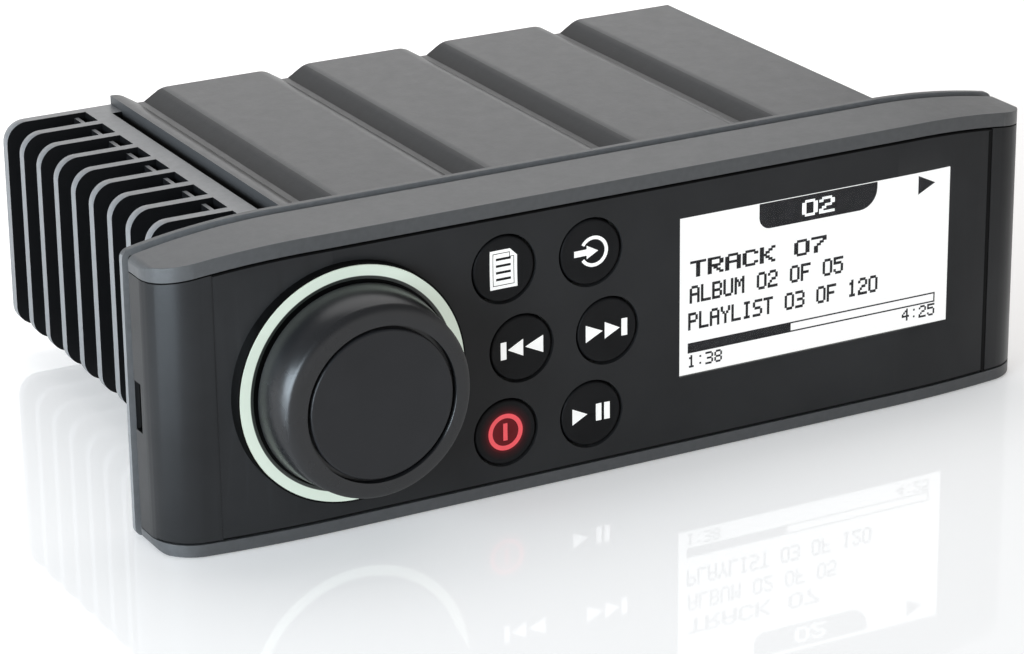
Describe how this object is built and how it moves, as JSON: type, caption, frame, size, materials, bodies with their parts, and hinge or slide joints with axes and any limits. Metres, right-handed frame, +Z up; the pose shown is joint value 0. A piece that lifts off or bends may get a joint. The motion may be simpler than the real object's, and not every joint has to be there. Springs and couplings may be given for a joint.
{
  "type": "marine stereo",
  "caption": "Flush-mount marine stereo with a push-to-select volume knob in a lit ring, round keys, a white display, clip-on screw covers and a ribbed chassis with a finned heat sink.",
  "frame": {"origin": "centre of the four mounting holes on the back face of the flange", "axes": "+X to the right across the face, +Y to the rear through the panel, +Z up"},
  "size_m": [0.1924, 0.1458, 0.0596],
  "materials": {
    "bezel_plastic": "satin grey coating",
    "fascia_plastic": "fine matt charcoal",
    "cover_plastic": "fine matt charcoal",
    "knob_plastic": "soft satin charcoal",
    "knob_cap_plastic": "fine matt charcoal",
    "key_rubber": "matt black",
    "ring_diffuser": "milky, lit from behind",
    "lens_clear": "clear, anti-glare",
    "lcd_white": "white, lit from behind",
    "seal_rubber": "matt black",
    "flange_metal": "satin grey coating",
    "cover_metal": "satin grey coating",
    "sink_metal": "black coating on a casting, with bare edges",
    "tub_metal": "matt black coating",
    "screw_steel": "plated",
    "shaft_steel": "plated",
    "plunger_plastic": "natural",
    "encoder_plastic": "moulded",
    "lamp_plastic": "clear over a pale chip",
    "switch_plastic": "moulded",
    "board_green": "solder resist",
    "chip_black": "moulded",
    "can_sleeve": "sleeved",
    "choke_grey": "moulded",
    "ribbon_grey": "flat cable",
    "socket_black": "moulded",
    "contact_brass": "plated"
  },
  "bodies": {
    "housing": {"bezel": "bezel_plastic", "fascia": "fascia_plastic", "light_ring": "ring_diffuser", "lcd_lens": "lens_clear", "lcd_panel": "lcd_white", "lcd_backlight": "lcd_white", "face_seal": "seal_rubber", "panel_seal": "seal_rubber", "mounting_flange": "flange_metal", "top_cover": "cover_metal", "heat_sink": "sink_metal", "chassis_tub": "tub_metal", "rear_panel": "tub_metal", "face_screws": "screw_steel", "front_board_screws": "screw_steel", "chassis_screws": "screw_steel", "cover_screws": "screw_steel", "sink_screws": "screw_steel", "rear_screws": "screw_steel", "board_screws": "screw_steel", "clamp_screws": "screw_steel", "encoder_nut": "shaft_steel", "chip_clamp": "shaft_steel", "tuner_module": "shaft_steel", "wireless_module": "shaft_steel", "aerial_socket": "shaft_steel", "encoder_body": "encoder_plastic", "ring_lamps": "lamp_plastic", "key_switches": "switch_plastic", "front_board": "board_green", "main_board": "board_green", "amplifier_chip": "chip_black", "capacitors": "can_sleeve", "inductor": "choke_grey", "ribbon_cable": "ribbon_grey", "harness_socket": "socket_black", "harness_contacts": "contact_brass", "network_socket": "contact_brass", "network_nut": "contact_brass"},
    "push_plunger": {"switch_plunger": "plunger_plastic"},
    "knob": {"knob_body": "knob_plastic", "knob_cap": "knob_cap_plastic", "encoder_shaft": "shaft_steel"},
    "menu_button": {"menu_key": "key_rubber"},
    "source_button": {"source_key": "key_rubber"},
    "previous_button": {"previous_key": "key_rubber"},
    "next_button": {"next_key": "key_rubber"},
    "power_button": {"power_key": "key_rubber"},
    "play_button": {"play_key": "key_rubber"},
    "left_cover": {"left_screw_cover": "cover_plastic"},
    "right_cover": {"right_screw_cover": "cover_plastic"}
  },
  "joints": [
    {"name": "knob_push", "type": "slide", "parent": "housing", "child": "push_plunger", "axis": [0, 1, 0], "range_m": [0, 0.0006], "stiffness_N_per_m": 3000, "springref_m": -0.0005},
    {"name": "knob_turn", "type": "hinge", "parent": "push_plunger", "child": "knob", "pos_m": [-0.0594, -0.0184, 0.0002], "axis": [0, 1, 0], "continuous": true},
    {"name": "menu_press", "type": "slide", "parent": "housing", "child": "menu_button", "axis": [0, 1, 0], "range_m": [0, 0.0008], "stiffness_N_per_m": 900, "springref_m": -0.0007},
    {"name": "source_press", "type": "slide", "parent": "housing", "child": "source_button", "axis": [0, 1, 0], "range_m": [0, 0.0008], "stiffness_N_per_m": 900, "springref_m": -0.0007},
    {"name": "previous_press", "type": "slide", "parent": "housing", "child": "previous_button", "axis": [0, 1, 0], "range_m": [0, 0.0008], "stiffness_N_per_m": 900, "springref_m": -0.0007},
    {"name": "next_press", "type": "slide", "parent": "housing", "child": "next_button", "axis": [0, 1, 0], "range_m": [0, 0.0008], "stiffness_N_per_m": 900, "springref_m": -0.0007},
    {"name": "power_press", "type": "slide", "parent": "housing", "child": "power_button", "axis": [0, 1, 0], "range_m": [0, 0.0008], "stiffness_N_per_m": 900, "springref_m": -0.0007},
    {"name": "play_press", "type": "slide", "parent": "housing", "child": "play_button", "axis": [0, 1, 0], "range_m": [0, 0.0008], "stiffness_N_per_m": 900, "springref_m": -0.0007},
    {"name": "left_cover_pull", "type": "slide", "parent": "housing", "child": "left_cover", "axis": [0, -1, 0], "range_m": [0, 0.012]},
    {"name": "right_cover_pull", "type": "slide", "parent": "housing", "child": "right_cover", "axis": [0, -1, 0], "range_m": [0, 0.012]}
  ]
}
